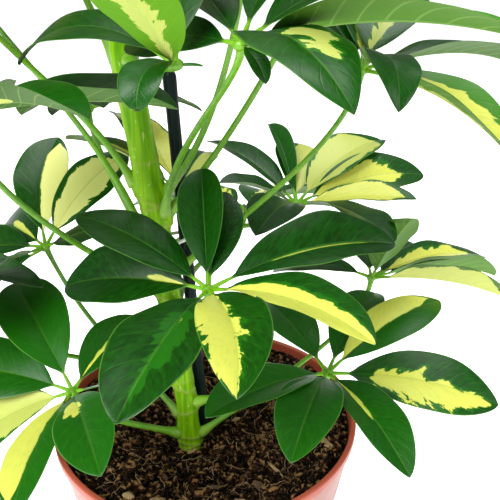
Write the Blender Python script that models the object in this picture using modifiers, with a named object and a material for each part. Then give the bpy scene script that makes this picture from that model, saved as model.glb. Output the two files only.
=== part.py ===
"""Potted umbrella plant: a nursery pot of compost with one stem, a cane, a tie and compound leaves.

Metres, +Z up. The origin is the middle of the underside of the pot. Lengths in the tables are
millimetres and angles are degrees, turned to metres by MM. A bearing is measured from +X towards +Y.
"""
import math

import bmesh
import bpy
import numpy as np
from mathutils import Matrix, Quaternion, Vector

MM = 0.001
GAP = 0.0003                    # clearance between pieces that touch
ROUND_STEPS = 36                # sides of a turned shape

POT_HEIGHT = 145 * MM
POT_RIM_RADIUS = 85 * MM
POT_BASE_RADIUS = 60 * MM
POT_WALL = 2.0 * MM
POT_LIP_STEP = 1.8 * MM         # how far the lip stands out from the wall
POT_LIP_WIDTH = 3.0 * MM        # across the top of the lip
POT_LIP_DEPTH = 5.5 * MM
POT_LIP_TAPER = 0.4 * MM        # the lip's foot is this much narrower than its top
POT_EDGE = 0.8 * MM             # chamfer of the rim and the base
POT_FLOOR = 3.0 * MM
DRAIN_HOLES = 8
DRAIN_RADIUS = 4.5 * MM
DRAIN_CIRCLE = 47 * MM

SOIL_EDGE_Z = 139.4 * MM
SOIL_CROWN_Z = 141.8 * MM
SOIL_MIDWAY_DROP = 0.7 * MM     # below the crown, half way out
SOIL_SHOULDER = 3 * MM
SOCKET_DEPTH = 80 * MM          # of the cutters for the stem and the cane

STEM_ROUTE = [                  # x, y, z, radius
    (-7.6, -26, 127, 5.7), (-7.5, -26, 143, 5.6), (-7.7, -26, 156, 5.4), (-8.4, -26, 172, 5.4),
    (-11.8, -26, 208, 5.6), (-15.8, -26, 246, 5.8), (-19.2, -26, 280, 6.1), (-20.6, -26, 292, 6.3),
    (-23.2, -26, 312, 6.1), (-27.7, -26, 348, 6.0), (-31, -25, 376, 5.6), (-34, -23, 412, 5.0),
    (-35, -20, 450, 4.3), (-34, -17, 490, 3.4), (-33, -16, 514, 2.6)]
STEM_SOCKET_Z = 126 * MM

CANE_RADIUS = 3.0 * MM
CANE_FOOT = (1.6, -18.2, 105)
CANE_TOP = (-10.1, -18.2, 340)

TIE_HEIGHT = 262 * MM
TIE_RADIUS = 0.9 * MM

PETIOLE_BASE_RADIUS = 1.9 * MM
PETIOLE_TOP_RADIUS = 1.3 * MM
PETIOLE_STANDOFF = 2.6 * MM     # from the stem's bark to the middle of the petiole's foot
PETIOLE_PULL = 0.36             # share of its span that its end tangents reach
PETIOLE_BOW = 0.7
HUB_RADIUS = 3.6 * MM

BLADE_THICKNESS = 1.3 * MM
BLADE_ASPECT = 0.41             # width over length
BLADE_FOLD = 12                 # each half rises this much from the midrib
STALK = 0.13                    # share of a leaflet that is its own thin stalk
MIDRIB_STEPS = 40
BLADE_STATIONS = (0.03, 0.42, 0.76, 1.0)
BLADE_WIDTHS = (0.07, 0.98, 0.74, 0.10)

# Each leaf: height on the stem, hub (x, y, z), lean of its whorl (bearing, angle), start of the petiole
# above level; turn is the side of the stem its foot is on, where that isn't towards the hub, and bow is
# how straight the petiole comes up into the hub. Then its leaflets: bearing in the whorl, length, rise at
# the hub and droop to the tip, with the aspect, sideways sway and roll of those that differ.
LEAVES = {
    "leaf_01": dict(height=152, hub=(-58, -55, 198), lean=(-168, 16), start=35, leaflets=[
        (118, 85, 35, 35, dict(aspect=0.42)), (159, 81, 22, 35, dict(roll=-20)),
        (-176, 72, 0, 42, dict(roll=-28)), (-97, 75, 16, 35, dict(aspect=0.29)),
        (-64, 74, 20, 35, dict(aspect=0.37, sway=-6)), (-8, 44, 8, 20, dict(roll=-34)),
        (60, 55, 18, 35, dict(roll=20))]),
    "leaf_02": dict(height=150, hub=(91, 15, 222), lean=(71, 20), start=45, turn=-8, leaflets=[
        (9, 76, 20, 35, dict(roll=-14)), (23, 81, 26, 36, dict(roll=8)),
        (-26, 77, 12, 30, dict(roll=-16)), (89, 74, 26, 35), (152, 62, 12, 44, dict(roll=-16)),
        (-84, 60, 42, 12), (45, 76, 22, 35, dict(roll=14))]),
    "leaf_03": dict(height=158, hub=(-81, 5, 245), lean=(-167, 34), start=30, turn=140, bow=1.4, leaflets=[
        (84, 79, 35, 35, dict(sway=-16, roll=38)), (46, 73, 16, 35, dict(roll=42)), (126, 77, 18, 35),
        (156, 76, 23, 35), (178, 75, 2, 35), (-16, 48, 2, 20, dict(roll=2)), (-112, 70, 31, 35)]),
    "leaf_04": dict(height=172, hub=(60, -60, 212), lean=(-63, 3), start=35, leaflets=[
        (116, 76, 13, 35, dict(aspect=0.38)), (66, 74, 16, 32, dict(aspect=0.34)),
        (37, 77, 24, 35, dict(aspect=0.34, roll=4)), (-13, 76, 11, 31, dict(aspect=0.45, roll=12)),
        (-70, 71, 18, 37, dict(aspect=0.33, roll=2)), (-107, 73, 24, 35, dict(aspect=0.38)),
        (-138, 71, 24, 35)]),
    "leaf_05": dict(height=187, hub=(-162, -12, 240), lean=(180, 20), start=10, leaflets=[
        (0, 84, -16, 26), (52, 72, 22, 40), (104, 76, 20, 40), (156, 78, 20, 40), (-152, 76, 18, 40),
        (-100, 74, 18, 40), (-48, 66, 14, 40)]),
    "leaf_06": dict(height=226, hub=(22, 92, 232), lean=(90, 18), start=30, leaflets=[
        (25, 74, 20, 40), (76, 78, 20, 40), (128, 76, 20, 40), (180, 74, 18, 40), (-128, 62, 12, 40),
        (-72, 56, 8, 40)]),
    "leaf_07": dict(height=232, hub=(8, -75, 263), lean=(-120, 6), start=25, leaflets=[
        (93, 58, 41, 18, dict(aspect=0.44, roll=-8)), (18, 84, 18, 37, dict(aspect=0.44, roll=9)),
        (-36, 78, 21, 40, dict(aspect=0.33)), (-71, 76, 20, 35, dict(aspect=0.38, sway=-26)),
        (-108, 78, 14, 37, dict(aspect=0.46)), (163, 70, 6, 33, dict(aspect=0.44, roll=-28)),
        (151, 67, 32, 30, dict(aspect=0.42)), (80, 50, 34, 18, dict(roll=14))]),
    "leaf_08": dict(height=240, hub=(-82, -70, 333), lean=(160, 4), start=40, leaflets=[
        (-2, 82, 7, 20, dict(roll=-1)), (-36, 70, 17, 34, dict(roll=-8)), (94, 66, 9, 35),
        (-78, 78, 7, 35), (143, 77, 20, 35), (-128, 76, 16, 40), (-176, 76, 18, 40)]),
    "leaf_09": dict(height=250, hub=(50, 30, 259), lean=(-4, 10), start=30, turn=85, leaflets=[
        (50, 80, 36, 35), (20, 79, 30, 35, dict(roll=20)), (-10, 64, 25, 22, dict(roll=8)),
        (-55, 74, 26, 40), (-111, 70, 20, 35), (143, 70, 26, 35), (105, 78, 31, 35, dict(aspect=0.22)),
        (93, 66, 28, 35), (-160, 48, 26, 30)]),
    "leaf_10": dict(height=270, hub=(-11, 8, 275), lean=(46, 19), start=10, turn=110, leaflets=[
        (160, 72, 23, 35), (130, 78, 36, 35), (104, 68, 24, 35, dict(aspect=0.36)),
        (82, 64, 31, 35, dict(aspect=0.33))]),
    "leaf_11": dict(height=250, hub=(-54, 14, 315), lean=(120, 6), start=58, turn=140, leaflets=[
        (10, 58, 15, 50), (-62, 28, 28, 50, dict(aspect=0.6)), (-118, 26, 23, 50, dict(aspect=0.6)),
        (60, 60, 15, 50), (102, 62, 15, 50), (145, 54, 15, 50)]),
    "leaf_12": dict(height=247, hub=(72, -25, 341), lean=(-32, 13), start=42, leaflets=[
        (-84, 62, 42, 95, dict(aspect=0.35)), (-50, 79, 12, 40, dict(aspect=0.36)),
        (14, 77, 24, 40, dict(roll=-16)), (72, 77, 34, 40), (88, 77, 25, 40), (112, 72, 21, 40)]),
    "leaf_13": dict(height=277, hub=(22, -90, 361), lean=(-125, 11), start=79, turn=-40, bow=0.35, leaflets=[
        (-66, 74, 27, 66, dict(aspect=0.4, roll=-8)), (-35, 92, 18, 29, dict(aspect=0.42, roll=-20)),
        (30, 76, 22, 40), (69, 78, 29, 40, dict(aspect=0.28)), (112, 58, 24, 40),
        (146, 54, 7, 30, dict(roll=-22))]),
    "leaf_14": dict(height=290, hub=(-102, -24, 392), lean=(-150, 14), start=66, leaflets=[
        (-30, 66, 18, 40), (-76, 74, 14, 40), (-128, 76, 18, 40), (176, 76, 16, 40), (124, 76, 18, 40),
        (72, 70, 22, 40), (22, 60, 22, 40)]),
    "leaf_15": dict(height=264, hub=(-122, 30, 404), lean=(150, 16), start=76, turn=190, leaflets=[
        (-28, 50, 20, 40), (24, 74, 20, 40), (76, 76, 18, 40), (128, 78, 18, 40), (180, 76, 16, 40),
        (-128, 72, 18, 40), (-78, 60, 20, 40)]),
    "leaf_16": dict(height=346, hub=(0.8, -95, 355.7), lean=(-81, 2), start=4, bow=0.1, leaflets=[
        (-101, 78, 38, 20, dict(aspect=0.29, roll=8)), (-126, 28, 22, 116, dict(aspect=0.58, sway=28)),
        (160, 67, 30, 84, dict(aspect=0.36, roll=-16)), (84, 60, 56, 24)]),
    "leaf_17": dict(height=287, hub=(28.5, -60, 438), lean=(-60, 12), start=48, turn=-8, bow=0.3, leaflets=[
        (-75, 74, 16, 40), (-20, 76, 18, 40), (32, 74, 18, 40), (84, 70, 20, 40), (136, 66, 20, 40),
        (-132, 70, 16, 40)]),
    "leaf_18": dict(height=277, hub=(69, -42, 427), lean=(-20, 14), start=48, turn=-4, bow=0.3, leaflets=[
        (-62, 72, 14, 40), (-10, 76, 16, 40), (42, 74, 18, 40), (94, 68, 20, 40), (150, 56, 24, 40),
        (-98, 60, 16, 40)]),
    "leaf_19": dict(height=344, hub=(-76, 22, 452), lean=(165, 14), start=50, leaflets=[
        (-30, 62, 22, 40), (22, 50, 20, 40), (74, 70, 18, 40), (126, 76, 16, 40), (178, 76, 14, 40),
        (-130, 60, 16, 40), (-80, 44, 18, 40)]),
}

# The crown above: leaves in a spiral up the stem, shorter and steeper towards the bud. Each pair is
# for the lowest and the highest of them.
CROWN_COUNT = 5
CROWN_FIRST = 20
CROWN_TURN = 137.5
CROWN_BEARING = 64
CROWN_HEIGHTS = (405, 506)      # on the stem
CROWN_REACH = (74, 14)          # from the stem's middle to the hub
CROWN_LIFT = (58, 40)           # from the petiole's foot up to the hub
CROWN_LENGTHS = (70, 40)
CROWN_RISE = (22, 56)
CROWN_LEAFLETS = (7, 5)
CROWN_DROOP = 38
CROWN_LEAN = 14
CROWN_START = 50
CROWN_UNEVEN = 0.1              # the outermost leaflets are this share longer


def clear_scene():
    for thing in list(bpy.data.objects):
        bpy.data.objects.remove(thing, do_unlink=True)


def new_collection(name):
    group = bpy.data.collections.new(name)
    bpy.context.scene.collection.children.link(group)
    return group


def make_material(name, colour, roughness, metallic=0.0):
    material = bpy.data.materials.new(name)
    material.use_nodes = True
    shader = material.node_tree.nodes["Principled BSDF"]
    shader.inputs["Base Color"].default_value = (*colour, 1.0)
    shader.inputs["Roughness"].default_value = roughness
    shader.inputs["Metallic"].default_value = metallic
    return material


def add_object(name, data, group, material=None):
    thing = bpy.data.objects.new(name, data)
    group.objects.link(thing)
    if material:
        data.materials.append(material)
    return thing


def mark_helper(thing):
    thing.hide_render = True
    thing.display_type = "WIRE"
    return thing


def add_cutter(name, body, helpers, radius, depth, middle, sides, tilt=0.0):
    """An upright bar, or one laid over by tilt towards -X, cut out of a body."""
    bpy.ops.mesh.primitive_cylinder_add(vertices=sides, radius=radius, depth=depth, location=middle,
                                        rotation=(0, -tilt, 0))
    cutter = mark_helper(bpy.context.object)
    cutter.name = name
    for owner in cutter.users_collection:
        owner.objects.unlink(cutter)
    helpers.objects.link(cutter)
    cut = body.modifiers.new(name, "BOOLEAN")
    cut.operation = "DIFFERENCE"
    cut.object = cutter


def evaluated_mesh(thing):
    graph = bpy.context.evaluated_depsgraph_get()
    return bpy.data.meshes.new_from_object(thing.evaluated_get(graph))


def weld_mesh(mesh, distance=1e-6):
    work = bmesh.new()
    work.from_mesh(mesh)
    bmesh.ops.remove_doubles(work, verts=work.verts, dist=distance)
    bmesh.ops.recalc_face_normals(work, faces=work.faces)
    work.to_mesh(mesh)
    work.free()


def shade_round(mesh, angle=40):
    mesh.shade_smooth()
    mesh.set_sharp_from_angle(angle=math.radians(angle))


# Turned shapes

def turned_object(name, profile, group, material, steps=ROUND_STEPS):
    """A profile of (radius, height) points spun once about the Z axis."""
    mesh = bpy.data.meshes.new(name)
    points = [(radius, 0.0, height) for radius, height in profile]
    edges = [(index, index + 1) for index in range(len(points) - 1)]
    mesh.from_pydata(points, edges, [])
    thing = add_object(name, mesh, group, material)
    screw = thing.modifiers.new("turn", "SCREW")
    screw.steps = steps
    screw.render_steps = steps
    screw.use_merge_vertices = True
    screw.merge_threshold = 0.00001
    screw.use_smooth_shade = True
    return thing


def wall_radius(height):
    """Radius of the pot's outer wall, which tapers evenly from the lip to the base."""
    share = min(height / (POT_HEIGHT - POT_LIP_DEPTH), 1.0)
    return POT_BASE_RADIUS + share * (POT_RIM_RADIUS - POT_LIP_STEP - POT_BASE_RADIUS)


def inner_radius(height):
    """Radius of the pot's inner wall, nearly upright inside the lip."""
    lip_foot = POT_HEIGHT - POT_LIP_DEPTH
    share = max(height - lip_foot, 0.0) / POT_LIP_DEPTH
    narrow = wall_radius(height) - POT_WALL
    return narrow + share * (POT_RIM_RADIUS - POT_LIP_WIDTH - narrow)


def build_pot(group, helpers, material):
    lip_foot = POT_HEIGHT - POT_LIP_DEPTH
    profile = [
        (0.0, POT_FLOOR),
        (inner_radius(POT_FLOOR), POT_FLOOR),
        (inner_radius(lip_foot), lip_foot),
        (inner_radius(POT_HEIGHT), POT_HEIGHT - POT_EDGE),
        (inner_radius(POT_HEIGHT) + POT_EDGE, POT_HEIGHT),
        (POT_RIM_RADIUS - POT_EDGE, POT_HEIGHT),
        (POT_RIM_RADIUS, POT_HEIGHT - POT_EDGE),
        (POT_RIM_RADIUS - POT_LIP_TAPER, lip_foot + POT_EDGE),
        (wall_radius(lip_foot), lip_foot),
        (wall_radius(2 * POT_EDGE), 2 * POT_EDGE),
        (wall_radius(0.0) - POT_EDGE, 0.0),
        (0.0, 0.0)]
    pot = turned_object("pot", profile, group, material)
    for index in range(DRAIN_HOLES):
        angle = 2 * math.pi * (index + 0.5) / DRAIN_HOLES
        middle = (DRAIN_CIRCLE * math.cos(angle), DRAIN_CIRCLE * math.sin(angle), 0.0)
        add_cutter(f"drain_cutter_{index + 1}", pot, helpers, DRAIN_RADIUS, 4 * POT_FLOOR, middle, 12)


def build_soil(group, helpers, material):
    low = POT_FLOOR + GAP
    foot = SOIL_EDGE_Z - SOIL_SHOULDER
    profile = [
        (0.0, SOIL_CROWN_Z),
        (0.5 * POT_RIM_RADIUS, SOIL_CROWN_Z - SOIL_MIDWAY_DROP),
        (inner_radius(SOIL_EDGE_Z) - GAP - SOIL_SHOULDER, SOIL_EDGE_Z),
        (inner_radius(foot) - GAP, foot),
        (inner_radius(low) - GAP, low),
        (0.0, low)]
    soil = turned_object("soil", profile, group, material)
    bore = stem_point(STEM_SOCKET_Z) + Vector((0, 0, SOCKET_DEPTH / 2 - GAP))
    add_cutter("stem_socket", soil, helpers, stem_radius(STEM_SOCKET_Z) + GAP, SOCKET_DEPTH, bore, 24)
    cane_foot, cane_top = cane_ends()
    along = (cane_top - cane_foot).normalized()
    bore = cane_foot + (SOCKET_DEPTH / 2 - GAP) * along
    lean = along.angle(Vector((0, 0, 1)))
    add_cutter("cane_socket", soil, helpers, CANE_RADIUS + GAP, SOCKET_DEPTH, bore, 24, lean)


# Stem, cane and tie

def stem_point(height):
    """Middle of the stem at a height in metres."""
    route = np.array(STEM_ROUTE) * MM
    return Vector((np.interp(height, route[:, 2], route[:, 0]),
                   np.interp(height, route[:, 2], route[:, 1]), height))


def stem_radius(height):
    route = np.array(STEM_ROUTE) * MM
    return float(np.interp(height, route[:, 2], route[:, 3]))


def tube_object(name, points, radii, group, material, sides=2, closed=False):
    """A round bar along the points, with its own radius at each."""
    curve = bpy.data.curves.new(name, "CURVE")
    curve.dimensions = "3D"
    curve.bevel_depth = 1.0
    curve.bevel_resolution = sides
    curve.use_fill_caps = not closed
    spline = curve.splines.new("POLY")
    spline.points.add(len(points) - 1)
    for place, point, radius in zip(spline.points, points, radii):
        place.co = (*point, 1.0)
        place.radius = radius
    spline.use_cyclic_u = closed
    return add_object(name, curve, group, material)


def as_mesh(thing, group, material):
    """A curve turned to a mesh with its caps welded on."""
    mesh = evaluated_mesh(thing)
    weld_mesh(mesh)
    name = thing.name
    place = thing.matrix_world.copy()
    bpy.data.objects.remove(thing, do_unlink=True)
    mesh.name = name
    mesh.materials.clear()
    solid = add_object(name, mesh, group, material)
    solid.matrix_world = place
    return solid


def build_stem(group, material):
    points = [Vector(row[:3]) * MM for row in STEM_ROUTE]
    radii = [row[3] * MM for row in STEM_ROUTE]
    return tube_object("stem", points, radii, group, material, sides=3)


def cane_ends():
    return Vector(CANE_FOOT) * MM, Vector(CANE_TOP) * MM


def cane_point(height):
    foot, top = cane_ends()
    return foot.lerp(top, (height - foot.z) / (top.z - foot.z))


def build_cane(group, material):
    foot, top = cane_ends()
    points = [foot, top.lerp(foot, 0.01), top]
    radii = [CANE_RADIUS, CANE_RADIUS, 0.6 * CANE_RADIUS]
    return tube_object("cane", points, radii, group, material, sides=3)


def build_tie(group, material):
    """A loop round the stem and the cane: two arcs about their middles, joined by straight runs."""
    stem = stem_point(TIE_HEIGHT)
    cane = cane_point(TIE_HEIGHT)
    across = cane - stem
    facing = math.atan2(across.y, across.x)
    reach = TIE_RADIUS + 2 * GAP
    stem_arc = stem_radius(TIE_HEIGHT) + reach
    cane_arc = CANE_RADIUS + reach
    slope = math.acos((stem_arc - cane_arc) / across.length)
    points = []
    for centre, radius, first, last in (
            (stem, stem_arc, facing + slope, facing + 2 * math.pi - slope),
            (cane, cane_arc, facing - slope, facing + slope)):
        for angle in np.linspace(first, last, 9):
            points.append(centre + radius * Vector((math.cos(angle), math.sin(angle), 0)))
    return tube_object("plant_tie", points, [TIE_RADIUS] * len(points), group, material, closed=True)


# Leaves

def whorl_turn(lean):
    """The turn that lays the whorl's upright axis over by an angle towards a bearing."""
    bearing, angle = (math.radians(value) for value in lean)
    hinge = Vector((-math.sin(bearing), math.cos(bearing), 0))
    return Quaternion(hinge, angle).to_matrix()


def midrib(hub, turn, leaflet, sway):
    """Points and directions along a leaflet's midrib.

    It leaves the hub rising, bends down past the middle of its own stalk, and swings sideways by
    sway * share^2, in steps of equal length.
    """
    bearing, length, rise, droop = leaflet
    shares = np.linspace(0, 1, MIDRIB_STEPS + 1)
    middles = (shares[1:] + shares[:-1]) / 2
    past = np.clip((middles - STALK / 2) / (1 - STALK / 2), 0, 1)
    slope = np.radians(rise - droop * past ** 1.25)
    heading = np.radians(bearing + sway * middles ** 2)
    local = np.stack([np.cos(slope) * np.cos(heading), np.cos(slope) * np.sin(heading), np.sin(slope)], -1)
    ahead = local @ np.array(turn).T
    path = np.concatenate([[np.zeros(3)], np.cumsum(ahead * length * MM / MIDRIB_STEPS, 0)])
    stations = []
    for share in BLADE_STATIONS:
        point = Vector([np.interp(share, shares, path[:, axis]) for axis in range(3)])
        forward = Vector([np.interp(share, middles, ahead[:, axis]) for axis in range(3)])
        stations.append((hub + point, forward.normalized()))
    return stations


def blade_object(name, hub, turn, leaflet, group):
    """One leaflet: a grid laid along the midrib, each half raised, then given thickness."""
    special = leaflet[4] if len(leaflet) > 4 else {}
    stations = midrib(hub, turn, leaflet[:4], special.get("sway", 0))
    roll = math.radians(special.get("roll", 0))
    wide = special.get("aspect", BLADE_ASPECT) * leaflet[1] * MM
    fold = math.radians(BLADE_FOLD)
    upward = turn @ Vector((0, 0, 1))
    work = bmesh.new()
    bmesh.ops.create_grid(work, x_segments=len(stations) - 1, y_segments=2, size=1.0)
    for vert in work.verts:
        row = round((vert.co.x + 1) / 2 * (len(stations) - 1))
        side = round(vert.co.y)
        middle, forward = stations[row]
        across = forward.cross(upward).normalized()
        normal = across.cross(forward)
        rolled = math.cos(roll) * across - math.sin(roll) * normal
        raised = math.cos(roll) * normal + math.sin(roll) * across
        half = BLADE_WIDTHS[row] * wide / 2
        vert.co = middle + half * (side * math.cos(fold) * rolled + abs(side) * math.sin(fold) * raised)
    bmesh.ops.recalc_face_normals(work, faces=work.faces)
    mesh = bpy.data.meshes.new(name)
    work.to_mesh(mesh)
    work.free()
    blade = mark_helper(add_object(name, mesh, group))
    thick = blade.modifiers.new("thickness", "SOLIDIFY")
    thick.thickness = BLADE_THICKNESS
    thick.offset = 0.0
    return blade


def petiole_route(foot, bearing, start, hub, axis, bow, count=6):
    """A smooth path that leaves the stem rising and comes up into the hub from below."""
    rise = math.radians(start)
    leaving = Vector((math.cos(rise) * math.cos(bearing), math.cos(rise) * math.sin(bearing), math.sin(rise)))
    arriving = (axis + Vector((0, 0, 1))).normalized()
    pull = (hub - foot).length * PETIOLE_PULL
    first = foot + pull * leaving
    second = hub - bow * pull * arriving
    points = []
    for index in range(count):
        share = index / (count - 1)
        rest = 1 - share
        points.append(rest ** 3 * foot + 3 * rest ** 2 * share * first
                      + 3 * rest * share ** 2 * second + share ** 3 * hub)
    return points


def build_leaf(name, leaf, group, helpers, material):
    hub = Vector(leaf["hub"]) * MM
    turn = whorl_turn(leaf["lean"])
    height = leaf["height"] * MM
    stem = stem_point(height)
    bearing = math.atan2(hub.y - stem.y, hub.x - stem.x)
    if "turn" in leaf:
        bearing = math.radians(leaf["turn"])
    reach = stem_radius(height) + PETIOLE_STANDOFF
    foot = stem + reach * Vector((math.cos(bearing), math.sin(bearing), 0))
    bow = leaf.get("bow", PETIOLE_BOW)
    points = petiole_route(foot, bearing, leaf["start"], hub, turn @ Vector((0, 0, 1)), bow)
    radii = np.linspace(PETIOLE_BASE_RADIUS, PETIOLE_TOP_RADIUS, len(points))
    petiole = tube_object(name + "_petiole", points, radii, group, material, sides=1)
    solid = as_mesh(petiole, group, material)

    knob_mesh = bpy.data.meshes.new(name + "_hub")
    work = bmesh.new()
    bmesh.ops.create_icosphere(work, subdivisions=1, radius=HUB_RADIUS, matrix=Matrix.Translation(hub))
    work.to_mesh(knob_mesh)
    work.free()
    joined = [mark_helper(add_object(name + "_hub", knob_mesh, helpers))]
    for index, leaflet in enumerate(leaf["leaflets"]):
        joined.append(blade_object(f"{name}_blade_{index + 1}", hub, turn, leaflet, helpers))
    for helper in joined:
        union = solid.modifiers.new(helper.name, "BOOLEAN")
        union.operation = "UNION"
        union.object = helper

    mesh = evaluated_mesh(solid)
    mesh.name = name
    for helper in joined:
        bpy.data.objects.remove(helper, do_unlink=True)
    bpy.data.objects.remove(solid, do_unlink=True)
    mesh.materials.clear()
    shade_round(mesh)
    return add_object(name, mesh, group, material)


def crown_leaves():
    """The upper leaves: each turned on by one step, nearer the stem, steeper and smaller."""
    leaves = {}
    for index in range(CROWN_COUNT):
        share = index / (CROWN_COUNT - 1)

        def between(pair):
            return pair[0] + share * (pair[1] - pair[0])

        bearing = CROWN_BEARING + CROWN_TURN * index
        angle = math.radians(bearing)
        height = between(CROWN_HEIGHTS)
        stem = stem_point(height * MM) / MM
        hub = (stem.x + between(CROWN_REACH) * math.cos(angle),
               stem.y + between(CROWN_REACH) * math.sin(angle),
               height + between(CROWN_LIFT))
        spread = 360 / round(between(CROWN_LEAFLETS))
        leaflets = []
        for place in range(round(between(CROWN_LEAFLETS))):
            longer = 1 + CROWN_UNEVEN * math.cos(math.radians(spread * place))
            leaflets.append((bearing + spread * place, longer * between(CROWN_LENGTHS),
                             between(CROWN_RISE), CROWN_DROOP))
        leaves[f"leaf_{CROWN_FIRST + index:02d}"] = dict(
            height=height, hub=hub, lean=(bearing, CROWN_LEAN), start=CROWN_START, leaflets=leaflets)
    return leaves


def build_plant():
    clear_scene()
    plant = new_collection("umbrella_plant")
    helpers = new_collection("cutters")
    build_pot(plant, helpers, make_material("pot plastic", (0.62, 0.16, 0.10), 0.42))
    build_soil(plant, helpers, make_material("compost", (0.035, 0.022, 0.013), 0.95))
    build_stem(plant, make_material("stem bark", (0.16, 0.30, 0.03), 0.55))
    build_cane(plant, make_material("cane coat", (0.008, 0.02, 0.014), 0.5))
    build_tie(plant, make_material("tie cord", (0.75, 0.75, 0.70), 0.7))
    green = make_material("leaf green", (0.03, 0.12, 0.02), 0.35)
    for name, leaf in (LEAVES | crown_leaves()).items():
        build_leaf(name, leaf, plant, helpers, green)


build_plant()
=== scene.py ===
import math

import bpy
import numpy as np
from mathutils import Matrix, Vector


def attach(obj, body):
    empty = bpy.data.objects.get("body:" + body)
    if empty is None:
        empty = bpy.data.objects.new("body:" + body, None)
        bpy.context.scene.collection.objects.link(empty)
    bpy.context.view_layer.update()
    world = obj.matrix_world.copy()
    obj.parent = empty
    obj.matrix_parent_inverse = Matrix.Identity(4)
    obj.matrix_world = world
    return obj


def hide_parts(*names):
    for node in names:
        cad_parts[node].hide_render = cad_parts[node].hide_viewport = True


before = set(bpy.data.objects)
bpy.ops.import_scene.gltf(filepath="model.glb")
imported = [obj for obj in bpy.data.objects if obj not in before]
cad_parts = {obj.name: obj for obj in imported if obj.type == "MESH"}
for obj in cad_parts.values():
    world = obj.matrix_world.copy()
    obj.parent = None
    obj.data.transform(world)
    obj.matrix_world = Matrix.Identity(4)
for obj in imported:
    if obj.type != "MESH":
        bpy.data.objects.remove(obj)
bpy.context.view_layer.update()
mm = 0.001      # the plant's and the pot's tables are in millimetres and degrees, the stage's in metres
print("frame loaded:", len(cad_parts), "nodes")


# surfaces and noise, worked out as whole arrays

def smoothStep(low, high, value):
    # 0 below low, 1 above high, and an S curve between them
    share = np.clip((value - low) / (high - low), 0, 1)
    return share * share * (3 - 2 * share)


def unitRows(rows):
    # each row divided by its own length
    return rows / np.maximum(np.linalg.norm(rows, axis=-1, keepdims=True), 1e-12)


def latticeNoise(x, y, seed, size=64):
    # random heights from -1 to 1 on whole numbers, eased between with an S curve
    heights = np.random.default_rng(seed).uniform(-1, 1, (size, size))
    column, row = np.floor(x).astype(int), np.floor(y).astype(int)
    easeX, easeY = smoothStep(0, 1, x - column), smoothStep(0, 1, y - row)
    left, right = column % size, (column + 1) % size
    near, far = row % size, (row + 1) % size
    front = heights[left, near] * (1 - easeX) + heights[right, near] * easeX
    back = heights[left, far] * (1 - easeX) + heights[right, far] * easeX
    return front * (1 - easeY) + back * easeY


def roughNoise(x, y, seed, octaves=4, fade=0.55):
    # lattice noises added, each twice as fine and fade times as tall as the one before
    total, tall = 0, 1.0
    for octave in range(octaves):
        total = total + tall * latticeNoise(x * 2 ** octave + 7.3 * octave, y * 2 ** octave, seed + octave)
        tall *= fade
    return total


def fullTurn(count):
    # angles at even steps round a whole turn
    return np.linspace(0, 2 * np.pi, count, endpoint=False)


def aroundZ(radius, angle, height):
    # points at a radius and an angle round the Z axis and at a height
    return np.stack(np.broadcast_arrays(radius * np.cos(angle), radius * np.sin(angle), height), -1)


def gridQuads(rows, columns):
    # the four corners of every cell of a grid closed round its columns, numbered row by row
    row, column = np.meshgrid(np.arange(rows - 1), np.arange(columns), indexing="ij")
    after = (column + 1) % columns
    corners = [row * columns + column, row * columns + after,
               (row + 1) * columns + after, (row + 1) * columns + column]
    return np.stack(corners, -1).reshape(-1, 4)


def addObject(name, data):
    made = bpy.data.objects.new(name, data)
    bpy.context.scene.collection.objects.link(made)
    return made


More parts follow.
